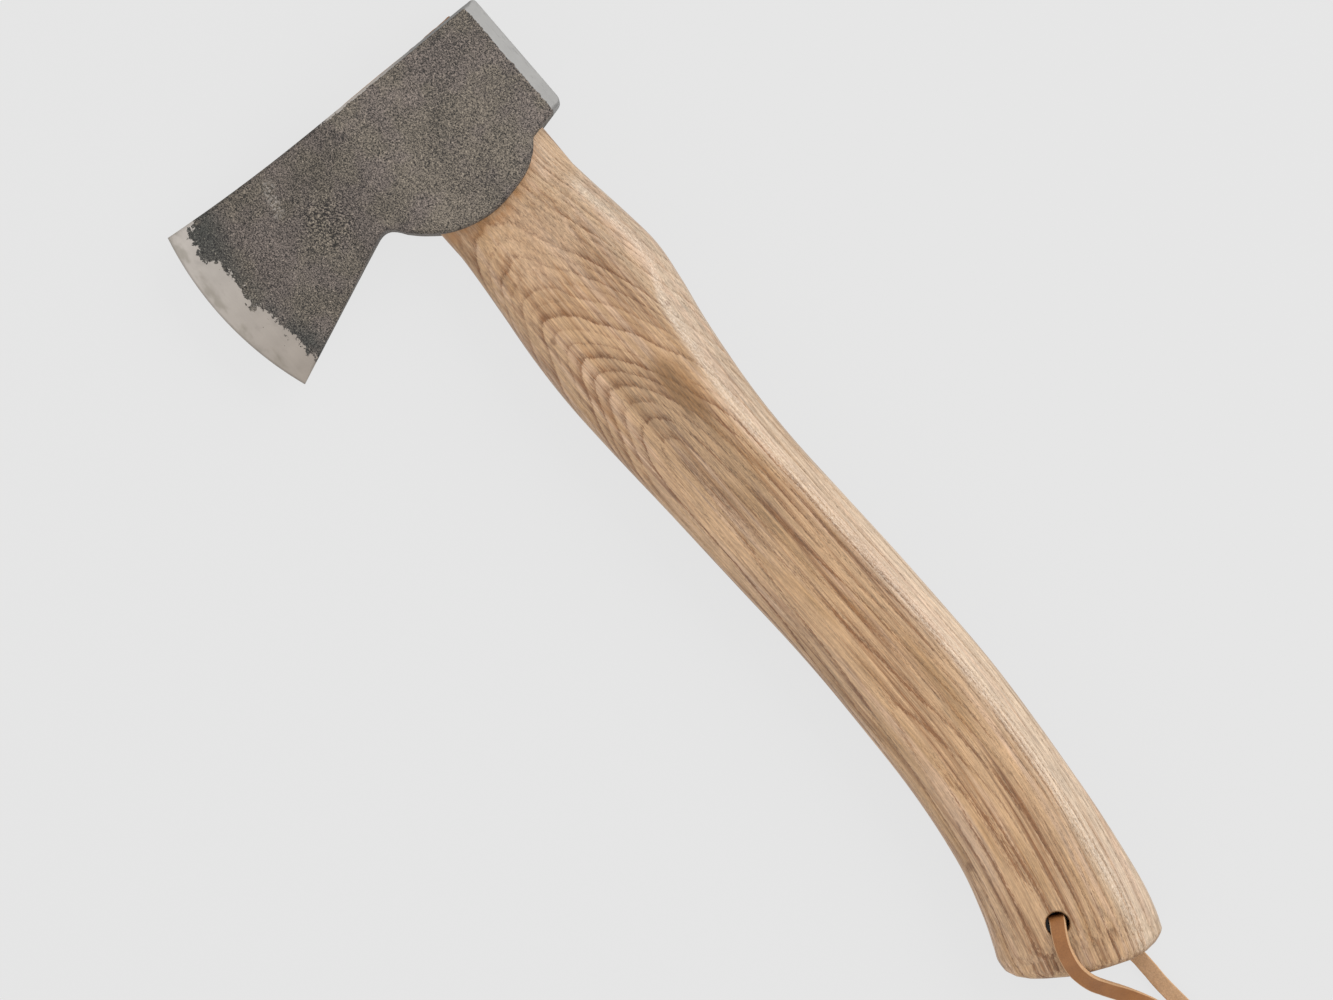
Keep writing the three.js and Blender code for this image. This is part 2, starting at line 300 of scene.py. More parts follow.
def perlin(points, size, shift=0.0):
    """Noise from -1 to 1 at each point, with features of size millimetres."""
    s = np.asarray(points, float) / size + shift
    return np.array([noise.noise(Vector(p)) for p in s])


def smoothstep(value, low, high):
    t = np.clip((value - low) / (high - low), 0, 1)
    return t * t * (3 - 2 * t)


def carve(obj, *others, operation="DIFFERENCE"):
    """Cuts the other objects out of obj, or with INTERSECT keeps what they share, and removes them."""
    for other in others:
        modifier = obj.modifiers.new("cut", "BOOLEAN")
        modifier.operation = operation
        modifier.solver = "EXACT"
        modifier.object = other
    graph = bpy.context.evaluated_depsgraph_get()
    mesh = bpy.data.meshes.new_from_object(obj.evaluated_get(graph), depsgraph=graph)
    old = obj.data
    obj.modifiers.clear()
    obj.data = mesh
    bpy.data.meshes.remove(old)
    mesh.name = obj.name
    mended(mesh, drop_thin_points)
    for other in others:
        bpy.data.objects.remove(other)


def loft(name, rings):
    """Closed skin through rings of equal count, with a fan over each end."""
    rings = np.asarray(rings, float)
    count, sides = rings.shape[:2]
    points = np.vstack([rings.reshape(-1, 3), rings[0].mean(0), rings[-1].mean(0)])
    faces = quads(numbered(count, sides), closed=True)
    first, last = count * sides, count * sides + 1
    top = (count - 1) * sides
    for c in range(sides):
        d = (c + 1) % sides
        faces.append((first, d, c))
        faces.append((last, top + c, top + d))
    return mesh_object(name, points, faces)


def unit(vectors):
    """The same directions, with length 1."""
    return vectors / np.maximum(np.linalg.norm(vectors, axis=1), 1e-9)[:, None]


def circle(sides):
    angle = np.arange(sides) * 2 * np.pi / sides
    return np.cos(angle), np.sin(angle)


def bulge(value, power):
    """Power of a value that may be negative, with its sign kept."""
    return np.sign(value) * np.abs(value) ** power


def superellipse(sides, power):
    along, up = circle(sides)
    return bulge(along, 2 / power), bulge(up, 2 / power)


def ring_between(low, high, thickness, section):
    """Ring of points: a section, along and up from -1 to 1, whose long axis runs from low to high."""
    low, high = np.asarray(low, float), np.asarray(high, float)
    along, up = section
    plan = (low + high) / 2 + np.outer(along, (high - low) / 2)
    return np.c_[plan, MID_Z + up * thickness / 2]


# ---- Materials ----
def ash_material():
    m = Material("oiled_ash")
    # The grain follows the haft's bend at the butt.
    bend = (95 - m.x).op("MAXIMUM", 0.0)
    m.y = m.y - bend * bend * 0.0018
    x, y, z = m.x, m.y, m.z

    def ramp(start, soft):
        """Zero before start, then rising by one a millimetre, with a soft corner."""
        d = x - start
        return ((d * d + soft * soft) ** 0.5 + d) * 0.5

    # Growth rings round a pith above the haft. They dip towards the butt, so the upper face cuts them in
    # arches behind the head, and in long lines further down. The outer rings are narrower.
    hair = m.noise((1.7, 0.2, 0.2), 1.0, shift=5.2) - 0.5
    wave = m.noise((85, 13, 10), 1.0, shift=3.1) - 0.5
    ripple = m.noise((34, 4.2, 4.2), shift=7.7) - 0.5
    off = y - 41.5 - x.step(190, 245) * 2.5
    deep = 34 - z
    distance = (off * off + deep * deep) ** 0.5
    narrow = distance - 25
    narrow = ((narrow * narrow + 9) ** 0.5 + narrow) * 0.17
    dip = x * 0.02 + ramp(192, 9) * 0.155 - ramp(258, 6) * 0.10
    rings = distance / 2.6 + narrow + dip + wave * 2.4 + ripple * 0.75 + hair * 0.4
    phase = rings.op("FRACT")
    early = (1 - phase.step(0.10, 0.80)) * phase.step(0.0, 0.12)
    early = early * (m.random(rings + 300) * 0.7 + 0.3)
    line = (1 - phase.step(0.10, 0.24)) * phase.step(0.0, 0.05) * m.random(rings + 900)
    arches = x.step(175, 215)
    year = m.random(rings + 700) - 0.5
    pores = m.noise((1.5, 0.19, 0.19), 1.0, shift=1.3).step(0.55, 0.68)
    pores = pores * (early * 0.9 + 0.15)
    band = m.noise((75, 4.2, 4.2), shift=31.0) - 0.5
    streak = m.noise((60, 1.0, 1.0), 2.0, 0.6, shift=37.0) - 0.5
    fibre = m.noise((12, 0.42, 0.42), 3.0, 0.6, shift=15.2) - 0.5
    fine = m.noise((1.6, 0.2, 0.2), 2.0, 0.6, shift=9.4) - 0.5
    tone = m.noise((60, 10, 10), shift=11.0) - 0.5
    # The inner rings are brown, in a streak through the middle, and the outer ones pale.
    outer = (distance + wave * 4).step(24.5, 29.5)
    heart = (x - 182) / 52
    across = (y - 33.5) / 9
    heart = (heart * heart + across * across + tone * 1.5).step(0.1, 1.5, 1.0, 0.0)
    warm = m.noise((38, 6, 6), shift=21.0).step(0.50, 0.72)
    facet = m.attribute("facet")
    ridge = m.attribute("ridge")
    # The facet beyond the ridge is painted paler and with fewer dark lines: painted sheen where the light
    # falls on it.
    outer = outer * 0.5 + facet * 0.5
    pink = m.noise((70, 2.6, 2.6), shift=43.0).step(0.48, 0.66)
    light = m.mix(outer, srgb(177, 143, 107), srgb(185, 160, 132))
    light = m.mix(facet * 0.6, light, srgb(190, 168, 144))
    light = m.mix(pink * 0.6, light, srgb(188, 157, 131))
    dark = m.mix(outer, srgb(120, 79, 43), srgb(142, 108, 73))
    share = early * (0.5 + arches * 0.06 - outer * 0.1) + line * (0.7 - arches * 0.4)
    share = share + (streak * 2.4 + band * 2.0) * (1.25 - arches * 0.45) + year * 0.45 + 0.07
    share = share * (1 - facet * 0.4)
    colour = m.mix(share.op("MAXIMUM", 0.0), light, dark)
    colour = m.mix(warm * (1 - outer) * 0.5, colour, srgb(148, 110, 64))
    bright = 0.952 + fibre * 1.4 + fine * 0.75 + tone * 0.35 - heart * 0.24 - x.step(60, 20, 0.0, 0.04)
    ragged = tone * 1.2 + streak * 1.6

    def patch(at_x, at_y, long, wide):
        """One inside an ellipse on the upper face, fading to 0 outside it."""
        u, v = (x - at_x) / long, (y - at_y) / wide
        return (u * u + v * v + ragged).step(0.15, 1.25, 1.0, 0.0)

    # Darker patches on the upper face; the painted sheen on the facet is toned down, most behind the head.
    bright = bright - patch(252, 19, 26, 11) * 0.07 - facet * (arches * 0.11 + 0.02)
    bright = bright + patch(92, 40.5, 40, 5) * 0.08 - patch(127, 44, 44, 8) * 0.08
    colour = m.mix(patch(203, 26.5, 12, 5) * 0.72, colour, srgb(128, 88, 40))
    colour = m.mix(patch(259, 32, 17, 12) * 0.45, colour, srgb(190, 160, 131))
    colour = m.mix(pores * 0.6, m.tint(colour, bright), srgb(92, 62, 32))
    # Pin knots in the upper face.
    for at_x, at_y, size in ((222.7, 14.6, 0.8), (235.4, 45.6, 1.1), (48.6, 49.3, 1.2)):
        knot_mark = patch(at_x, at_y, size * 1.3, size) * z.step(12, 14)
        colour = m.mix(knot_mark * 0.6, colour, srgb(104, 68, 38))
    # Painted highlight along the ridge: pale specks where pores would catch the light, and a plain paler line
    # behind the head.
    sparkle = m.noise((0.7, 0.32, 0.32), 2.0, 0.6, shift=66.0).step(0.46, 0.62) * 0.35 + arches * 0.08
    colour = m.mix(ridge * sparkle, colour, srgb(222, 204, 184))
    # End grain soaks up more oil.
    facing = m.node("ShaderNodeSeparateXYZ", m.node("ShaderNodeNewGeometry").outputs["Normal"])
    end_grain = Value(m.tree, facing.outputs[0]).op("ABSOLUTE").step(0.62, 0.92)
    oiled = m.tint(srgb(146, 106, 66), 1 + fine * 0.9 - pores * 0.3 - early * 0.3)
    colour = m.mix(end_grain * 0.45, colour, oiled)
    # Darker brown band on the wood against the lobe of the head, broken up by noise.
    lobe = ((x - 298) * (x - 298) + (y - 34.5) * (y - 34.5)) ** 0.5
    dark_band = (1 - lobe.step(24.8, 29.8)) * (m.noise((4, 3, 4), shift=2.0).step(0.38, 0.60) * 0.7 + 0.3)
    colour = m.mix(dark_band * 0.65, colour, srgb(160, 110, 60))
    m.set("Base Color", colour)
    m.set("Roughness", 0.48 + fine * 0.25 + early * 0.08)
    m.set("Specular IOR Level", 0.45)
    m.set("Coat Weight", 0.3)
    m.set("Coat Roughness", 0.33)
    m.bump(0.5 - pores * 0.55 - early * 0.16 + fine * 0.5 + fibre * 0.25, 0.13)
    return m.material


def steel_material():
    m = Material("forged_and_ground_steel")
    x, y = m.x, m.y
    ground = m.attribute("ground")
    edge = m.attribute("from_edge")
    outline = m.attribute("from_outline")
    # Scale grains, and the pits among them that the grinder didn't reach.
    grain = m.noise(0.34, 1.0, shift=14.0) - 0.5
    lumps = m.noise(0.62, 2.0, 0.55, shift=25.0) - 0.5
    pits = m.noise(0.9, 2.0, 0.55, shift=3.0) - 0.5
    islands = m.noise(2.6, shift=8.0) - 0.5
    cluster = m.noise(3.4, 1.0, shift=17.0).step(0.56, 0.62)
    ragged = y.step(20, 40) * 0.8 + 0.2
    cluster = cluster * y.step(60, 75)
    left = ground + (pits * 1.15 + islands * 0.45) * ragged - 0.03
    left = left - cluster * (grain * 2.2 + 0.5) * (1 - ground.step(0.3, 0.75))
    bare = left.step(-0.015, 0.03)
    drift = m.noise(10, shift=30.0)
    region = m.noise(13, shift=41.0) - 0.5
    fleck = m.noise(2.4, 2.0, 0.6, shift=90.0).step(0.60, 0.72)
    scale = m.mix(drift.step(0.38, 0.62), srgb(98, 90, 80), srgb(97, 88, 82))
    spot_x, spot_y = (x - 302) / 10, (y - 71.5) / 9
    spot = (spot_x * spot_x + spot_y * spot_y).step(0.0, 1.3, 1.0, 0.0)
    ends = ((x - 299) / 27).op("ABSOLUTE").step(0.2, 0.9)
    behind = (edge - 10.2).step(0.0, 6.0 + ends * 3.5, 1.0, 0.0)
    behind = behind * (m.noise(6, shift=50.0).step(0.3, 0.52) * 0.7 + 0.3) * (ends * 0.35 + 0.65)
    scale = m.mix((behind * 0.95).op("MINIMUM", 1.0), scale, srgb(58, 58, 54))
    pocks = m.noise(1.0, 2.0, 0.6, shift=52.0).step(0.54, 0.64) * (spot + behind * 0.6)
    bright = 0.99 + grain * 4.8 + lumps * (spot * 5.4 + 2.1) + region * 0.9 - pocks * (spot * 0.35 + 0.65)
    # Dark flecks, and painted shade within 1.5 mm of the outline, where the edges round over.
    bright = bright - fleck * 0.38 - outline.step(0.2, 1.5, 0.2, 0.0)
    bright = bright - y.step(48, 76) * 0.13 - x.step(290, 318) * y.step(14, 40, 0.17, 0.0)
    scale = m.tint(scale, bright.op("MAXIMUM", 0.12))
    # Painted highlight: pale glints on the tops of the scale grains, more in the pitted patch.
    glint = (grain + lumps * 0.8).step(0.20, 0.36) * (spot * 0.3 + 0.5)
    scale = m.mix(glint, scale, srgb(168, 156, 140))
    # Pale scuff across the cheek.
    along = (x - 316.8) * 0.94 - (y - 79) * 0.33
    over = (x - 316.8) * 0.33 + (y - 79) * 0.94
    scuff = along.op("ABSOLUTE").step(4.0, 6.5, 1.0, 0.0) * over.op("ABSOLUTE").step(0.5, 2.4, 1.0, 0.0)
    scuff = scuff * m.noise(0.9, 2.0, 0.6, shift=77.0).step(0.45, 0.60)
    scale = m.mix(scuff * 0.6, scale, srgb(168, 160, 152))
    cloud = m.noise(9, 3.0, 0.55, shift=60.0) - 0.5
    smudge = m.noise(5, 3.0, 0.6, shift=64.0).step(0.56, 0.75)
    hair = m.noise((9.0, 0.5, 9.0), 2.0, 0.6, shift=70.0) - 0.5
    # Toe end lighter than the heel; poll neutral.
    bit = m.mix((x - 272) / 54, srgb(149, 140, 131), srgb(182, 175, 168))
    steel = m.mix(y.step(20, 40), srgb(126, 125, 123), bit)
    # Painted shade: a thin darker line on the micro bevel along the cutting edge.
    rim = edge.step(0.25, 0.75, 0.3, 0.0)
    steel = m.tint(steel, 1 + cloud * 0.42 + hair * 0.08 - smudge * 0.12 - rim)
    dark_band = m.noise((9, 5, 9), 3.0, 0.6, shift=82.0).step(0.46, 0.66)
    dark_band = (edge - 1.6).op("ABSOLUTE").step(0.4, 3.0, 1.0, 0.0) * dark_band
    steel = m.mix(dark_band * 0.4, steel, srgb(114, 108, 94))
    scratch = m.noise((3.0, 0.3, 3.0), 3.0, 0.7, shift=95.0).step(0.58, 0.68) * y.step(1.3, 3.0, 1.0, 0.0)
    steel = m.tint(steel, 1 - scratch * 0.3)
    m.set("Base Color", m.mix(bare, scale, steel))
    m.set("Metallic", bare * (y.step(20, 40) * 0.25 + 0.3) + 0.2)
    m.set("Roughness", bare * -0.1 + 0.62 + cloud * 0.08)
    height = (grain + lumps * 0.9) * (1 - bare) + hair * 0.03 * bare - (1 - bare) * 0.1
    m.bump(height + 0.5, 0.32)
    return m.material


def leather_material():
    m = Material("tan_leather")
    side = m.attribute("skin_side")
    flesh = m.attribute("flesh_up")
    grain = m.cells(0.34)
    speck = m.noise(0.42, 2.0, 0.6, shift=14.0) - 0.5
    fuzz = m.noise((0.8, 0.25, 0.8), 3.0, 0.7, shift=4.0) - 0.5
    cloud = m.noise(5, 3.0, 0.6, shift=9.0) - 0.5
    smooth = m.mix(cloud * 1.6 + 0.5, srgb(146, 98, 56), srgb(126, 82, 46))
    smooth = m.tint(smooth, 1 + fuzz * 0.2 + speck * 0.45)
    suede = m.mix(cloud * 1.6 + 0.5, srgb(176, 142, 110), srgb(156, 121, 88))
    suede = m.tint(suede, 1 + fuzz * 0.5 + speck * 0.7)
    facing = (side * (flesh * 2 - 1)).step(-0.3, 0.3)
    colour = m.mix(facing, smooth, suede)
    cut = side.op("ABSOLUTE").step(0.2, 0.8, 1.0, 0.0)
    colour = m.mix(cut * 0.75, colour, m.tint(srgb(196, 156, 116), 1 + fuzz * 0.5 + speck * 0.4))
    m.set("Base Color", colour)
    m.set("Roughness", facing * 0.25 + 0.52)
    m.set("Specular IOR Level", 0.35)
    m.bump(grain * (1 - facing) * 0.35 + fuzz * (facing * 1.2 + cut + 0.25) + speck * 0.3 + 0.5, 0.12)
    return m.material


def wedge_material():
    m = Material("wedge_hardwood")
    line = m.noise((12, 0.8, 0.5), 3.0, 0.6, shift=3.0) - 0.5
    pore = m.noise((2.5, 0.22, 0.22), 1.0, shift=8.0).step(0.6, 0.72)
    colour = m.mix(line + 0.5, srgb(150, 108, 68), srgb(120, 82, 50))
    m.set("Base Color", m.tint(colour, 1 - pore * 0.4))
    m.set("Roughness", 0.62)
    m.bump(line * 0.5 - pore * 0.5 + 0.5, 0.12)
    return m.material


def ring_material():
    m = Material("driven_steel")
    turned = m.noise((0.3, 5, 5), 2.0, 0.6, shift=3.0) - 0.5
    dent = m.noise(1.6, shift=6.0) - 0.5
    rust = m.noise(1.2, 3.0, 0.6, shift=16.0).step(0.58, 0.75)
    colour = m.mix(rust * 0.5, srgb(190, 188, 184), srgb(120, 92, 70))
    m.set("Base Color", m.tint(colour, 1 + dent * 0.25))
    m.set("Metallic", 0.9 - rust * 0.4)
    m.set("Roughness", 0.38 + rust * 0.25 + dent * 0.1)
    m.bump(turned * 0.2 + dent * 0.6 + 0.5, 0.15)
    return m.material


def stand_in(piece, node, material):
    """Puts a piece in the place of a CAD node, on the hatchet's only body."""
    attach(piece, "root")
    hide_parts(node)
    piece.data.materials.clear()
    piece.data.materials.append(material)


# ---- Leather lace ----
LACE_WIDTH = 4.5
LACE_THICKNESS = 1.8
STRAP_STEP = 0.55
FRONT_STRAND = [
    (22.0, 44.1, 13.2), (22.0, 44.1, 17), (21.8, 44.2, 20.3), (20.8, 44.8, 23.1), (18.4, 46.3, 24.6),
    (14, 48.4, 25), (9, 49.5, 24.6), (5, 49.3, 22.8), (1.4, 48.3, 19.3), (-2.2, 46.5, 14.8),
    (-6.3, 44.2, 9.8), (-10.4, 42.1, 5.5), (-15.2, 39.9, 2.6), (-20.5, 38.2, 1.3), (-27, 37.3, 1),
    (-38, 37.6, 1), (-52, 38.4, 1), (-66, 38, 1), (-80, 36.6, 1), (-91, 35.8, 1), (-97, 35.5, 1.2),
    (-102.5, 35.2, 1.7),
]
REAR_STRAND = [
    (21.4, 44.2, 12.8), (21.4, 44.4, 9), (21.3, 44.5, 5), (20.2, 44.1, 2.3), (18, 43.1, 1.1),
    (15.4, 41.8, 1), (11, 39.4, 1), (4.6, 36, 1), (-1.3, 33.9, 1), (-7.2, 33.6, 1), (-13, 33.6, 1),
    (-26, 32.6, 1), (-40, 31.3, 1), (-54, 30, 1), (-68, 29.4, 1), (-81, 30, 1), (-91, 30.6, 1),
    (-97, 30.7, 1.2), (-102.5, 31, 1.7),
]
FRONT_TAIL = [(-108, 35.2, 1.7), (-113, 35.6, 1.1), (-119, 36, 1), (-127, 37.6, 1), (-134, 39.6, 1)]
REAR_TAIL = [(-108, 31, 1.7), (-113, 30.6, 1.1), (-119, 30.4, 1), (-126, 29, 1), (-132, 27, 1)]
KNOT_CENTRE = np.array([-105.5, 33.1, 3.8])
KNOT_SIDES = 24
KNOT_STEP = 0.35


def even(path, step):
    """Points about step apart along a path, with its length."""
    length = np.r_[0, np.cumsum(np.linalg.norm(np.diff(path, axis=0), axis=1))]
    at = np.linspace(0, length[-1], max(2, int(round(length[-1] / step)) + 1))
    return np.stack([np.interp(at, length, path[:, i]) for i in range(3)], 1), length[-1]


def strap_section():
    """Rounded rectangle: across, up, and 1 on the top skin, -1 on the lower and 0 on the cut edges."""
    wide, high, corner = LACE_WIDTH / 2, LACE_THICKNESS / 2, 0.38
    x, z = wide - corner, high - corner
    bend = [(corner * math.cos(a), corner * math.sin(a)) for a in np.radians((60, 30, 0))]
    half = [(across, high, 1) for across in np.linspace(-x, x, 9)]
    half += [(x + a, z + b, 0) for a, b in bend]
    half += [(wide, 0, 0)]
    half += [(x + a, -z - b, 0) for a, b in reversed(bend)]
    return np.array(half + [(-across, -up, -skin) for across, up, skin in half])


def strap(name, route, roll, seed):
    """A strap of lace along a route. roll gives its turn about its own line, in degrees, by distance."""
    path, length = even(spline(route, 24), STRAP_STEP)
    tangent = unit(np.gradient(path, axis=0))
    flat = np.hypot(tangent[:, 0], tangent[:, 1])
    # Where the strap stands up, in the hole, it is turned like its first part that lies down.
    first = int(np.argmax(flat > 0.6))
    heading = tangent.copy()
    heading[:first] = tangent[first]
    side = unit(np.stack([-heading[:, 1], heading[:, 0], 0 * flat], 1))
    normal = unit(np.cross(tangent, side))
    # Top of the strap is the side away from the floor.
    if normal[-1, 2] <= 0:
        side, normal = -side, -normal
    along = np.linspace(0, length, len(path))
    turn = np.radians(np.interp(along, *zip(*roll)))[:, None]
    wide = 1 + 0.03 * perlin(np.stack([along, 0 * along, 0 * along], 1), 9, seed)
    across = side * np.cos(turn) + normal * np.sin(turn)
    up = normal * np.cos(turn) - side * np.sin(turn)
    u, v, skin = strap_section().T
    rings = path[:, None] + across[:, None] * (wide[:, None] * u)[..., None] + up[:, None] * v[:, None]
    points = rings.reshape(-1, 3)
    # Slightly uneven skin.
    out = unit(points - np.repeat(path, len(u), axis=0))
    rough = 0.035 * perlin(points, 1.1, seed + 3) + 0.05 * perlin(points, 4.5, seed + 7)
    points += out * rough[:, None]
    points[:, 2] = np.maximum(points[:, 2], 0.03)
    obj = loft(name, points.reshape(rings.shape))
    mark(obj, skin_side=np.r_[np.tile(skin, len(path)), 0, 0])
    return obj, path, length


front, front_path, front_length = strap(
    "lace_front", FRONT_STRAND, [(0, 0), (6, 4), (14, 14), (26, 22), (40, 20), (60, 0), (200, 0)], 1
)
rear, rear_path, rear_length = strap("lace_rear", REAR_STRAND, [(0, 0), (200, 0)], 20)
front_tail, _, _ = strap("lace_tail_front", FRONT_TAIL, [(0, 0), (10, 6), (30, 14)], 40)
rear_tail, _, _ = strap("lace_tail_rear", REAR_TAIL, [(0, 0), (10, -5), (30, -10)], 60)


def knot_turn(route, closed, half, thick, seed):
    """One turn of the doubled lace about the knot's middle: rings of points, and which skin each one is."""
    path = np.vstack([route, route[:1]]) if closed else np.asarray(route, float)
    path, _ = even(spline(path, 20), KNOT_STEP)
    if closed:
        path = path[:-1]
    tangent = np.roll(path, -1, axis=0) - np.roll(path, 1, axis=0) if closed else np.gradient(path, axis=0)
    tangent = unit(tangent)
    outward = path * (0.35 if closed else 0.6, 1, 1.3)
    normal = unit(outward - tangent * np.sum(outward * tangent, axis=1)[:, None])
    for _ in range(20):
        normal[1:-1] = (normal[:-2] + normal[1:-1] * 2 + normal[2:]) / 4
        normal = unit(normal)
    side = np.cross(normal, tangent)
    c, s = circle(KNOT_SIDES)
    up = thick * bulge(s, 0.6)[:, None]
    # The groove between the two layers runs along each edge.
    across = half * bulge(c, 0.55)[:, None] * (1 - 0.16 * np.exp(-((up / 0.28) ** 2)))
    rings = path[:, None] + side[:, None] * across + normal[:, None] * up
    points = rings.reshape(-1, 3) + KNOT_CENTRE
    points += 0.06 * perlin(points, 1.6, seed)[:, None]
    points[:, 2] = np.maximum(points[:, 2], 0.05 + 0.04 * perlin(points, 2.0, 5))
    return points, len(path), np.tile(np.sign(s) * (np.abs(s) > 0.5), len(path))


def knot():
    """Overhand knot in the doubled lace: two turns round the strands, and one that crosses over them."""
    crossing = [
        (5.2, -2.6, -1.8), (4.6, -4.4, -0.2), (2.6, -3.6, 1.5), (0.2, -1.2, 2.2),
        (-1.4, 1.4, 2.1), (-3.0, 3.8, 1.2), (-4.8, 4.4, -0.3), (-5.4, 2.6, -1.9),
    ]
    c, s = circle(14)
    loops = [(crossing, False, 2.1, 1.2, 5)]
    for x, lean, wide, tall, seed in ((3.3, 1.0, 5.2, 1.75, 7), (-3.2, 1.2, 5.0, 1.7, 9)):
        ring = np.stack([x + lean * c, wide * c, tall * s - 1.25], 1)
        loops.append((ring, True, 2.0, 0.95, seed))
    points, faces, values, start = [], [], [], 0
    for route, closed, half, thick, seed in loops:
        skin, count, which = knot_turn(route, closed, half, thick, seed)
        ids = numbered(count, KNOT_SIDES, start)
        faces += quads(ids, closed=True, joined=closed)
        if not closed:
            faces += [ids[0, ::-1].tolist(), ids[-1].tolist()]
        points.append(skin)
        values.append(which)
        start += len(skin)
    obj = mesh_object("lace_knot_tied", np.vstack(points), faces)
    mark(obj, skin_side=np.concatenate(values))
    return obj


knot_piece = knot()

leather = leather_material()
for piece, node, flesh_up in (
    (front, "lace_front_strand", 0),
    (rear, "lace_rear_strand", 1),
    (front_tail, "lace_front_tail", 0),
    (rear_tail, "lace_rear_tail", 1),
    (knot_piece, "lace_knot", 0),
):
    mark(piece, flesh_up=np.full(len(piece.data.vertices), flesh_up))
    stand_in(piece, node, leather)

# ---- Head ----
EDGE_CENTRE = (304.0, 14.1)
EDGE_RADIUS = 97.4
EDGE_FLAT = 0.15
TOE_Y = 108.48
HEEL_Y = 106.08
UPPER_SEED, LOWER_SEED = 2.0, 31.0  # the two faces' own roughness

LOBE = [
    (282.3, 12.6), (278.7, 16.1), (275.6, 21.8), (273.8, 30.8),
    (274.1, 38.5), (276.9, 46.8), (281.6, 53.3), (285.4, 57.1),
]
# Side towards the haft, from the poll to the heel of the edge: the lobe, the notch and the beard.
BEARD_SIDE = np.vstack([
    bezier([(286.8, 0), (285.3, 0), (284.6, 1.6)], 8),
    [(283.2, 8.2), (282.3, 12.6)],
    spline(LOBE, 12)[1:],
    bezier([(285.4, 57.1), (289.3, 59.4), (290.2, 61.2), (288.7, 64.8)], 20)[1:],
    [(271.97, HEEL_Y)],
])
# Top side, from the poll to the toe.
TOP_SIDE = np.vstack([
    bezier([(321.2, 0), (322.6, 0), (322.7, 1.4)], 8),
    [(323.5, 45)],
    bezier([(323.5, 45), (324.5, 80), (328.06, TOE_Y)], 20)[1:],
])

# Half thickness of the forging by distance from EDGE_CENTRE, and near the poll by y.
FORGED_BLADE = ([0, 34, 38, 44, 51, 58, 66, 76, 88, 98], [13, 13, 12.95, 12.2, 10.2, 8, 6, 4.3, 2.8, 2.1])
FORGED_POLL = ([0, 1.5, 3.8, 9, 16, 24], [10.6, 10.9, 11.3, 12.35, 12.95, 13])
# Width of the ground bevel by x, from heel to toe.
BEVEL_WIDTH = (
    [270, 276, 284, 290, 296, 300, 307, 313, 318, 324, 328],
    [7.8, 8.2, 10.2, 10.5, 10.4, 9.3, 10, 9.4, 7.2, 7.2, 9.6],
)


def side_at(side, y):
    """Where a side of the head's outline is in x, at y."""
    return np.interp(y, side[:, 1], side[:, 0])


def outline_distance(x, y):
    """Distance from the two long sides of the head's outline, in plan."""
    best = np.full(len(x), 1e9)
    for side in (BEARD_SIDE, TOP_SIDE):
        line, _ = even(np.c_[side, np.zeros(len(side))], 0.4)
        for start in range(0, len(x), 8000):
            block = slice(start, start + 8000)
            gap = np.hypot(x[block, None] - line[None, :, 0], y[block, None] - line[None, :, 1])
            best[block] = np.minimum(best[block], gap.min(1))
    return best


def head_surface(x, y, seed):
    """Half thickness of the head at x, y, and how much metal the grinder took off, in millimetres."""
    r = np.hypot(x - EDGE_CENTRE[0], y - EDGE_CENTRE[1])
    forged = np.minimum(smooth_interp(r, *FORGED_BLADE), smooth_interp(y, *FORGED_POLL))
    width = smooth_interp(x, *BEVEL_WIDTH)
    forged += 0.2 * (width - 9.4) * smoothstep(r, 80, 90)
    plan = np.stack([x, y, 0 * x], 1)
    rough_patch = np.exp(-(((x - 302) / 9) ** 2 + ((y - 71.5) / 8) ** 2))
    coarse = perlin(plan, 14, seed) * 0.10 + perlin(plan, 5, seed + 5) * 0.05
    grain = perlin(plan, 1.5, seed + 9) * 0.05 + perlin(plan, 0.8, seed + 13) * 0.045
    pits = np.maximum(perlin(plan, 1.9, seed + 17) - 0.28, 0) * 0.55
    behind_bevel = smoothstep(r, 82, 88)
    forged += coarse + grain * (1 + 1.6 * rough_patch) - pits * (0.5 + 1.4 * rough_patch + 1.2 * behind_bevel)
    from_edge = EDGE_RADIUS - r
    bevel = np.minimum(EDGE_FLAT + 0.45 * from_edge, EDGE_FLAT + 0.08 + 0.275 * from_edge)
    poll = 9.2 + 0.5526 * y
    plane = np.minimum(bevel, poll)
    ground = forged - plane
    half = np.minimum(forged, plane + 0.004 * perlin(plan, 6, seed + 21))
    return np.maximum(half, EDGE_FLAT), ground


def graded(length, fine, count):
    """Places from 0 to length: the fine ones from each end, and count even ones between."""
    between = np.linspace(fine[-1], length - fine[-1], count + 2)[1:-1]
    return np.r_[fine, between, length - np.array(fine)[::-1]]


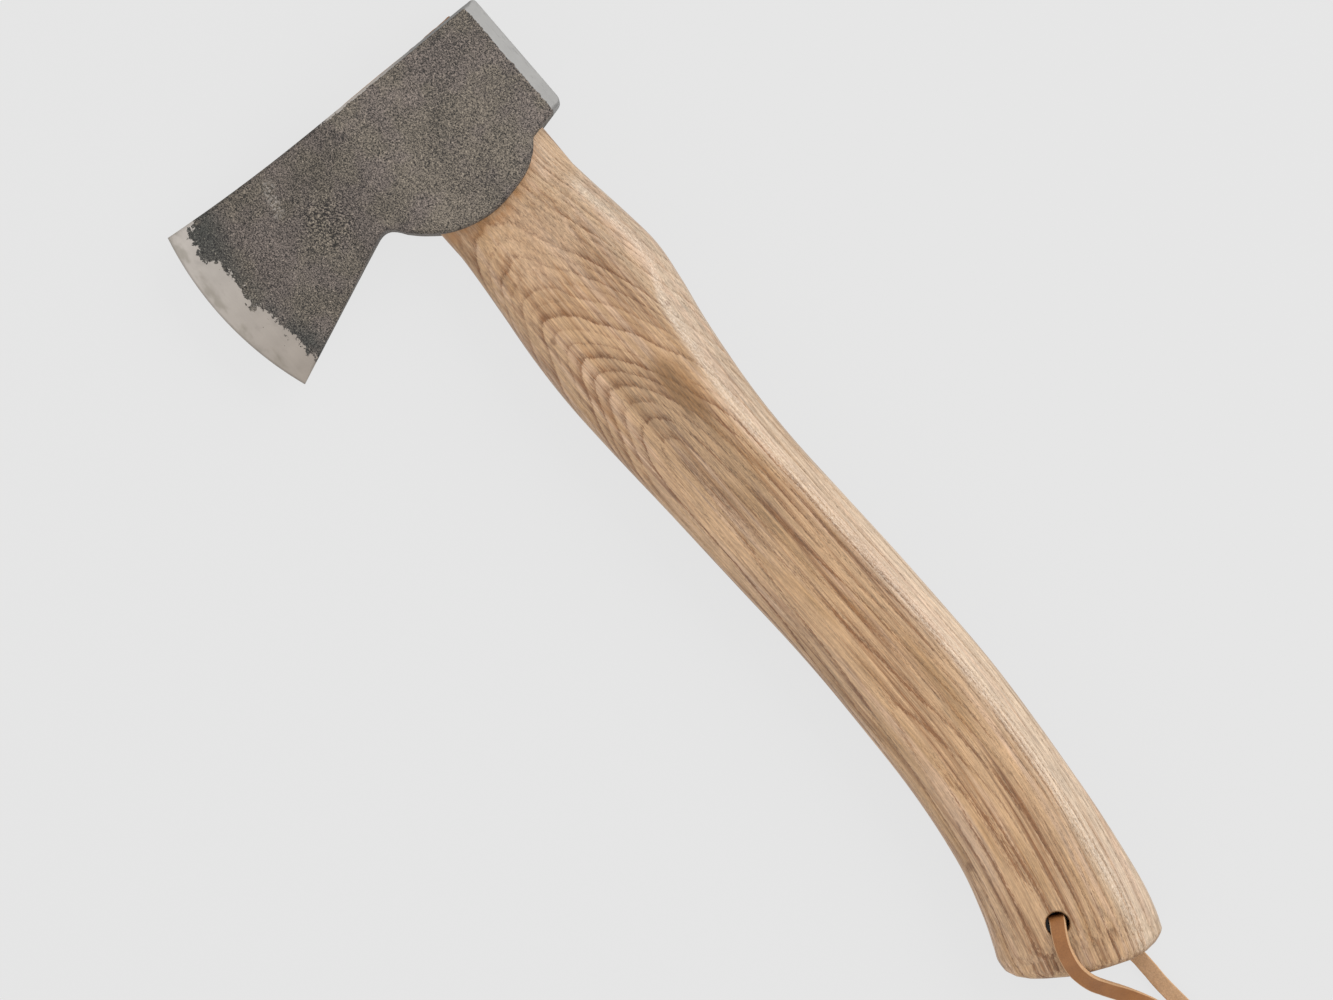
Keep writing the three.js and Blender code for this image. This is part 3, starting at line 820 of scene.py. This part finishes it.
def head():
    step = 0.40
    rounding = [0, 0.06, 0.2, 0.42, 0.72, 1.05, 1.4, 1.8]
    # Rows run from the poll to the edge, and columns from the beard side to the top side.
    v = np.r_[
        [0, 0.1, 0.28, 0.55, 0.9, 1.3],
        np.arange(1.7, 105.3, step),
        [105.5, 105.8, 106.05, 106.25, 106.4, 106.5],
    ] / 106.5
    columns_between = int(round(42.4 / step)) - 1
    points = []
    low_y, high_y = v * HEEL_Y, v * TOE_Y
    low_x = side_at(BEARD_SIDE, low_y)
    high_x = side_at(TOP_SIDE, high_y)
    for i in range(len(v)):
        width = high_x[i] - low_x[i]
        at = graded(width, rounding, columns_between)
        x = low_x[i] + at
        u = at / width
        last = (1 - u) * HEEL_Y + u * TOE_Y
        at_edge = low_x[-1] + u * (high_x[-1] - low_x[-1])
        arc = EDGE_CENTRE[1] + np.sqrt(EDGE_RADIUS**2 - (at_edge - EDGE_CENTRE[0]) ** 2)
        y = (1 - u) * low_y[i] + u * high_y[i] + (arc - last) * v[i] ** 1.5
        points.append(np.stack([x, y], 1))
    plan = np.array(points)
    rows, columns = plan.shape[:2]
    x, y = plan.reshape(-1, 2).T
    inside = outline_distance(x, y).reshape(rows, columns)
    inside[:, [0, -1]] = 0
    inside = inside.ravel()
    sides = []
    for sign, seed in ((1, UPPER_SEED), (-1, LOWER_SEED)):
        half, _ = head_surface(x, y, seed)
        radius = np.minimum(1.35, 0.42 * half) * (0.15 + 0.85 * smoothstep(y, 0, 2.6))
        d = np.minimum(inside, radius)
        drop = radius - np.sqrt(np.maximum(radius**2 - (radius - d) ** 2, 0))
        sides.append(np.stack([x, y, MID_Z + sign * (half - drop)], 1))
    top, bottom = sides
    top[:, 2] = np.minimum(top[:, 2], MID_Z + HALF_THICKNESS)
    bottom[:, 2] = np.maximum(bottom[:, 2], MID_Z - HALF_THICKNESS)
    count = rows * columns
    ids = numbered(rows, columns)
    loop = np.r_[ids[:, 0], ids[-1, 1:], ids[-2::-1, -1], ids[0, -2:0:-1]]
    shares = np.r_[0.005, 0.015, np.linspace(0.035, 0.965, 19), 0.985, 0.995]
    flat = np.vstack([top[loop] * (1 - share) + bottom[loop] * share for share in shares])
    # Forging roughness on the walls, but not at the cutting edge.
    tall = np.tile(np.abs(top[loop, 2] - bottom[loop, 2]), len(shares))
    ahead = np.roll(top[loop, :2], -1, axis=0) - np.roll(top[loop, :2], 1, axis=0)
    normal = unit(np.stack([-ahead[:, 1], ahead[:, 0]], 1))
    amount = (0.10 * perlin(flat, 6, 3) + 0.05 * perlin(flat, 1.4, 8) - 0.06) * smoothstep(tall, 2, 8)
    flush = (flat[:, 1] < 0.3) | ((flat[:, 0] > 315) & (flat[:, 1] < 56))
    amount *= np.where(flush, 0.0, 1.0)
    flat[:, :2] += np.tile(normal, (len(shares), 1)) * amount[:, None]
    wall_ids = np.vstack([loop, numbered(len(shares), len(loop), 2 * count), loop + count])
    faces = [f[::-1] for f in quads(ids)] + quads(ids + count) + quads(wall_ids, closed=True)
    return mesh_object("forged_head", np.vstack([top, bottom, flat]), faces)


# x, low y, high y and thickness of the oval eye, below and above the head.
EYE_BOTTOM = (270, 8.8, 49.8, 16)
EYE_TOP = (330, 8.1, 50.7, 18.2)
EYE_POWER = 2.4
TONGUE_START_X = 275
TONGUE_END_X = 323.4
TONGUE_LEAN = 0.6
FIT = 0.05  # what is left between wood and steel


def eye_ring(x, inset, sides, lean=0.0):
    share = (x - EYE_BOTTOM[0]) / (EYE_TOP[0] - EYE_BOTTOM[0])
    low, high, thickness = (EYE_BOTTOM[i] + (EYE_TOP[i] - EYE_BOTTOM[i]) * share for i in (1, 2, 3))
    section = superellipse(sides, EYE_POWER)
    return ring_between((x - lean, low + inset), (x + lean, high - inset), thickness - 2 * inset, section)


axe = head()
# The eye, eased at both of its mouths.
EYE_CUT = ((262, -0.5), (272, 0), (322.2, 0), (323.3, -0.35), (330, -3.0))
carve(axe, loft("eye_cutter", [eye_ring(x, inset, 72) for x, inset in EYE_CUT]))


def head_attributes(obj):
    p = points_of(obj)
    x, y = p[:, 0], p[:, 1]
    upper = p[:, 2] > MID_Z
    ground = np.where(upper, head_surface(x, y, UPPER_SEED)[1], head_surface(x, y, LOWER_SEED)[1])
    edge = EDGE_RADIUS - np.hypot(x - EDGE_CENTRE[0], y - EDGE_CENTRE[1])
    # The top is ground flush with the end of the haft.
    ground = np.maximum(ground, np.minimum(0.75 - (side_at(TOP_SIDE, y) - x), (54 - y) * 0.05))
    mark(obj, ground=ground, from_edge=edge, from_outline=outline_distance(x, y))


head_attributes(axe)
stand_in(axe, "axe_head", steel_material())

# ---- Haft ----
# Back x and y, belly x and y, and thickness, from the butt to the eye.
HAFT_STATIONS = [
    (0.3, 23.4, 19.6, 64.6, 18.5), (5.6, 21.3, 23.2, 64.3, 20.6), (14, 18.9, 27, 62.7, 21.6),
    (26, 16.8, 36, 59.2, 21.8), (45, 14.3, 50, 55.2, 22), (70, 12, 71, 52.2, 22.2),
    (95, 10.7, 95, 50.8, 22.4), (125, 10.9, 124, 50.4, 22.8), (150, 11.7, 150, 51.3, 23.2),
    (172, 12.2, 172, 52.2, 24), (192, 11.4, 193, 53.1, 25), (212, 9.1, 212, 53.8, 25.8),
    (226, 6.7, 225, 53.7, 26), (238, 5.5, 238, 52.8, 26), (250, 6.5, 250, 51.5, 24.4),
    (262, 8, 262, 50.3, 20.8), (270, 8.9, 270, 49.7, 17.4),
]
HAFT_POWER = 2.7
BACK_POWER = 3.2
# The ridge along the haft's back side, by x: its place across the section, from 0 at the middle to 1.
RIDGE = ([0, 225, 235, 262], [0.64, 0.64, 0.79, 0.80])
HOLE = (20.7, 44.9)
HOLE_RADIUS = 3.35
KERF_BOTTOM_X = 287
KERF_TOP = 4.0
KERF_BOTTOM = 1.0
RING_Y = 29.4
RING_OUTER = 6.5
RING_INNER = 4.7
RING_DEPTH = 11
# How far the end face stands out from the last station, by distance across it from the back.
BUTT_END = (
    [0, 0.9, 2.5, 6, 11, 17, 23, 29, 35, 39.5, 43, 45.5],
    [0, 1.3, 3.1, 4.9, 6.1, 6.4, 6.4, 6.0, 4.9, 3.8, 2.2, 0],
)
BUTT_ROUND = 2.8


def haft_section(sides, x):
    """Rounded section, from -1 at the back to 1 at the belly, with a soft ridge towards the back."""
    along, up = superellipse(sides, HAFT_POWER)
    ridge = np.interp(x, *RIDGE)
    out = np.clip(-along, 0, 1)
    full = (1 - out**BACK_POWER) ** (1 / BACK_POWER)
    top = (1 - ridge**BACK_POWER) ** (1 / BACK_POWER)
    facet = top - (top - 0.51) / (0.958 - ridge) * (out - ridge)
    soft = 0.035
    lean = np.clip(0.5 + (facet - full) / (2 * soft), 0, 1)
    height = facet * (1 - lean) + full * lean - soft * lean * (1 - lean)
    show = smoothstep(x, 274, 264) if x > 264 else 1.0
    height = np.where(along < 0, height * show + np.abs(up) * (1 - show), np.abs(up))
    return along, np.sign(up) * height


def haft():
    sides = 144
    per_span = 30
    stations = spline(HAFT_STATIONS, per_span)
    stations[:, 4] = np.minimum(stations[:, 4], 2 * HALF_THICKNESS)
    along, up = haft_section(sides, 0)
    # Butt: the last section runs on to the rim of the end face, whose middle stands furthest out.
    low, high, thickness = stations[0, :2], stations[0, 2:4], stations[0, 4]
    across = high - low
    wide = np.linalg.norm(across)
    across /= wide
    outward = np.array([-across[1], across[0]])
    upper = slice(sides // 2, None, -1)
    profile = (along[upper], up[upper])

    def end_ring(share):
        """Ring of the end face whose section is share of the whole."""
        a = wide / 2 * (1 + along * share)
        z = thickness / 2 * up * share
        reach = np.interp(a, *BUTT_END)
        limit = thickness / 2 * np.interp(2 * a / wide - 1, *profile)
        r = np.minimum(BUTT_ROUND, reach)
        into = np.clip(np.abs(z) - (limit - r), 0, r)
        fall = r - np.sqrt(np.maximum(r**2 - into**2, 0))
        plan = low + np.outer(a, across) + np.outer(reach - fall, outward)
        return np.c_[plan, MID_Z + z]

    rings = [end_ring(share) for share in (0.25, 0.5, 0.68, 0.8, 0.88, 0.93, 0.96, 0.98, 0.992, 1.0)]
    rim = rings[-1]
    base = ring_between(low, high, thickness, haft_section(sides, 0))
    rings += [rim * (1 - share) + base * share for share in (0.3, 0.65)]
    for station in stations:
        section = haft_section(sides, (station[0] + station[2]) / 2)
        rings.append(ring_between(station[:2], station[2:4], station[4], section))
    for x in np.linspace(TONGUE_START_X, TONGUE_END_X, 16):
        lean = TONGUE_LEAN * (x - TONGUE_START_X) / (TONGUE_END_X - TONGUE_START_X)
        rings.append(eye_ring(x, FIT, sides, lean))
    # Sawn end, a little uneven.
    end, middle = rings[-1], rings[-1].mean(0)
    for share in (0.97, 0.85, 0.7, 0.55, 0.4, 0.25, 0.1):
        ring = middle + (end - middle) * share
        ring[:, 0] += 0.05 * perlin(ring, 4.0, 44.0) + 0.05
        rings.append(ring)
    rings = np.array(rings)
    body = rings.reshape(-1, 3)
    # Hand-shaped skin: slow, shallow hollows, none of them proud of the drawn shape.
    centre = np.repeat(rings.mean(1), sides, axis=0)
    out = body - centre
    out[:, 0] *= 0.2
    free = smoothstep(body[:, 0], 3, 14) * (1 - smoothstep(body[:, 0], 225, 236))
    hollow = 0.12 - perlin(body * (0.35, 1, 1), 9, 12.0) * 0.12 - perlin(body * (0.2, 1, 1), 3.5, 15.0) * 0.03
    body -= unit(out) * (hollow * free)[:, None]
    return loft("shaped_haft", rings)


def kerf_cutter():
    """The saw cut that the wooden wedge opens, through the end of the haft."""
    low_x, top_x = KERF_BOTTOM_X - FIT, TONGUE_END_X + 3
    bottom, top = KERF_BOTTOM / 2 + FIT, KERF_TOP / 2 + FIT
    corners = [(low_x, -bottom), (top_x, -top), (top_x, top), (low_x, bottom)]
    return loft("kerf_cutter", [[(x, y, MID_Z + z) for x, z in corners] for y in (-2, 60)])


def revolved(name, profile, sides):
    """Turns a closed profile of (radius, distance along) round the round wedge's axis, which is along X."""
    across, up = circle(sides)
    rings = [np.c_[np.full(sides, along), radius * across, radius * up] for radius, along in profile]
    faces = quads(numbered(len(profile), sides), closed=True, joined=True)
    return mesh_object(name, np.vstack(rings) + RING_START, faces)


def ring_cutter():
    """The circular slot that the round wedge cuts for itself."""
    inner, outer = RING_INNER - FIT, RING_OUTER + FIT
    return revolved("ring_cutter", [(inner, 0), (outer, 0), (outer, 14), (inner, 14)], 96)


def hole_cutter():
    """The lanyard hole, a little flared where it meets the surface."""
    across, up = circle(48)
    flare = [(-4, 4.5), (2.0, 0.7), (2.5, 0.32), (3.0, 0.1), (3.6, 0.0)]
    rings = []
    for z, grow in flare + [(2 * MID_Z - z, grow) for z, grow in reversed(flare)]:
        r = HOLE_RADIUS + grow
        rings.append(np.c_[HOLE[0] + r * across, HOLE[1] + r * up, np.full(48, z)])
    return loft("hole_cutter", rings)


RING_START = (TONGUE_END_X - RING_DEPTH - 0.1, RING_Y, MID_Z)
wood = haft()
carve(wood, kerf_cutter(), ring_cutter(), hole_cutter())


def haft_sides(x):
    """Where the haft's back and belly are in y, at x."""
    line = spline(HAFT_STATIONS, 8)
    return np.interp(x, line[:, 0], line[:, 1]), np.interp(x, line[:, 2], line[:, 3])


def haft_attributes(obj):
    """Marks the narrow facet beyond the ridge, and the ridge itself, where the ash gets painted sheen and a
    painted highlight.
    """
    p = points_of(obj)
    back, belly = haft_sides(p[:, 0])
    beyond = 1 - 2 * (p[:, 1] - back) / (belly - back) - np.interp(p[:, 0], *RIDGE)
    haft_only = 1 - smoothstep(p[:, 0], 262, 270)
    near = np.interp(p[:, 0], [190, 225], [0.15, 0.07])
    # The facet's painted sheen starts sharply at the shoulder and softly further down.
    soft_low = np.interp(p[:, 0], [190, 225], [-0.24, -0.06])
    soft_high = np.interp(p[:, 0], [190, 225], [0.14, 0.05])
    facet = smoothstep(beyond, soft_low, soft_high)
    ridge = 1 - smoothstep(np.abs(beyond - 0.02), 0.02, near)
    mark(obj, facet=facet * haft_only, ridge=ridge * haft_only)


haft_attributes(wood)
stand_in(wood, "haft", ash_material())

# ---- Wedges ----
def split_wedge():
    """Hardwood wedge driven across the eye, standing a little proud of the haft's end."""
    bottom, top, length = KERF_BOTTOM / 2, KERF_TOP / 2, TONGUE_END_X - KERF_BOTTOM_X
    levels = np.linspace(0, 1, 14)
    rings = []
    for y in np.linspace(0, 60, 61):
        proud = 0.28 + 0.06 * math.sin(y * 0.9) + 0.04 * math.sin(y * 2.3)
        side = [(KERF_BOTTOM_X + length * t, bottom + (top - bottom) * t) for t in levels]
        side += [(TONGUE_END_X + proud * k, top * u) for k, u in ((0.75, 0.96), (1, 0.85), (1, 0.4))]
        rings.append([(x, y, MID_Z - z) for x, z in side] + [(x, y, MID_Z + z) for x, z in side[::-1]])
    obj = loft("wedge_across_eye", rings)
    core = loft("eye_core", [eye_ring(x, 0.02, 96) for x in (280, 326)])
    carve(obj, core, operation="INTERSECT")
    carve(obj, ring_cutter())
    return obj


def round_wedge():
    """Steel ring driven into the end of the haft, with hammered edges."""
    depth, inner, outer = RING_DEPTH + 0.2, RING_INNER, RING_OUTER
    # Section of the ring, as (radius, distance from its inner end).
    profile = [
        (inner + 0.15, 0), (outer - 0.35, 0), (outer, 1.2), (outer, depth - 0.35),
        (outer - 0.12, depth - 0.1), (outer - 0.4, depth), (outer - 0.75, depth + 0.12),
        (inner + 0.7, depth + 0.12), (inner + 0.35, depth), (inner + 0.08, depth - 0.15),
        (inner, depth - 0.4),
    ]
    obj = revolved("wedge_ring", profile, 128)
    p = points_of(obj)
    struck = smoothstep(p[:, 0], TONGUE_END_X - 1.0, TONGUE_END_X)
    p[:, 0] += struck * (0.10 * perlin(p, 3.0, 51.0) - 0.02)
    p[:, 1] += struck * 0.07 * perlin(p, 2.5, 54.0)
    p[:, 2] += struck * 0.07 * perlin(p, 2.5, 57.0)
    obj.data.vertices.foreach_set("co", row(p).astype(np.float32).ravel())
    obj.data.update()
    return obj


stand_in(split_wedge(), "wooden_wedge", wedge_material())
stand_in(round_wedge(), "steel_ring_wedge", ring_material())

# ---- Floor and light ----
def floor():
    """Pale paper with a glow of its own, which hides the shadows; the glow is cut under the hatchet and below
    the lace hole, as painted shade.
    """
    far, step = 60000.0, 2.0
    grid_x = np.r_[-far, np.arange(-20, 340, step), far]
    grid_y = np.r_[-far, np.arange(-10, 125, step), far]
    gx, gy = np.meshgrid(grid_x, grid_y, indexing="ij")
    x, y = gx.ravel(), gy.ravel()
    back, belly = haft_sides(x)
    butt_x, butt_y = 0.9055, -0.4242  # square to the butt's end
    from_butt = butt_x * (x - 0.3) + butt_y * (y - 23.4)
    under_haft = smoothstep(y - back, 1, 15) * smoothstep(belly - y, 1, 15) * smoothstep(from_butt, 1, 15)
    under_haft *= 1 - smoothstep(x, 285, 300)
    under_head = smoothstep(x - side_at(BEARD_SIDE, y), 1, 10) * smoothstep(side_at(TOP_SIDE, y) - x, 1, 10)
    under_head *= smoothstep(y, 2, 10) * (1 - smoothstep(y, 40, 75))
    below_hole = 1 - smoothstep(np.hypot(x - HOLE[0], y - HOLE[1]), 4, 8.5)
    # Painted shade: the floor's glow is cut under the haft, under the head and below the lace hole.
    shade = np.maximum.reduce([under_haft, under_head, below_hole])
    faces = [f[::-1] for f in quads(numbered(len(grid_x), len(grid_y)))]
    obj = mesh_object("floor", np.stack([x, y, 0 * x], 1), faces)
    mark(obj, shade=shade)
    m = Material("floor_paper")
    m.set("Base Color", (0.04, 0.04, 0.04))
    m.set("Roughness", 1.0)
    m.set("Specular IOR Level", 0.0)
    m.set("Emission Color", (1.0, 1.0, 1.0))
    m.set("Emission Strength", m.attribute("shade") * -0.72 + 0.735)
    obj.data.materials.append(m.material)


def area_light(name, place, size, power):
    """A rectangle of light that faces the frame's origin."""
    data = bpy.data.lights.new(name, "AREA")
    data.shape = "RECTANGLE"
    data.size, data.size_y = size
    data.energy = power
    obj = bpy.data.objects.new(name, data)
    scene.collection.objects.link(obj)
    obj.location = place
    obj.rotation_mode = "QUATERNION"
    obj.rotation_quaternion = (-Vector(place)).to_track_quat("-Z", "Y")


world = bpy.data.worlds.new("studio")
scene.world = world
world.use_nodes = True
background = world.node_tree.nodes["Background"].inputs
background["Color"].default_value = (1, 1, 1, 1)
background["Strength"].default_value = 0.79
floor()
area_light("key", (0.05, -1.22, 1.03), (1.6, 1.1), 22)
area_light("fill", (-0.3, 1.3, 0.9), (1.6, 1.0), 7)
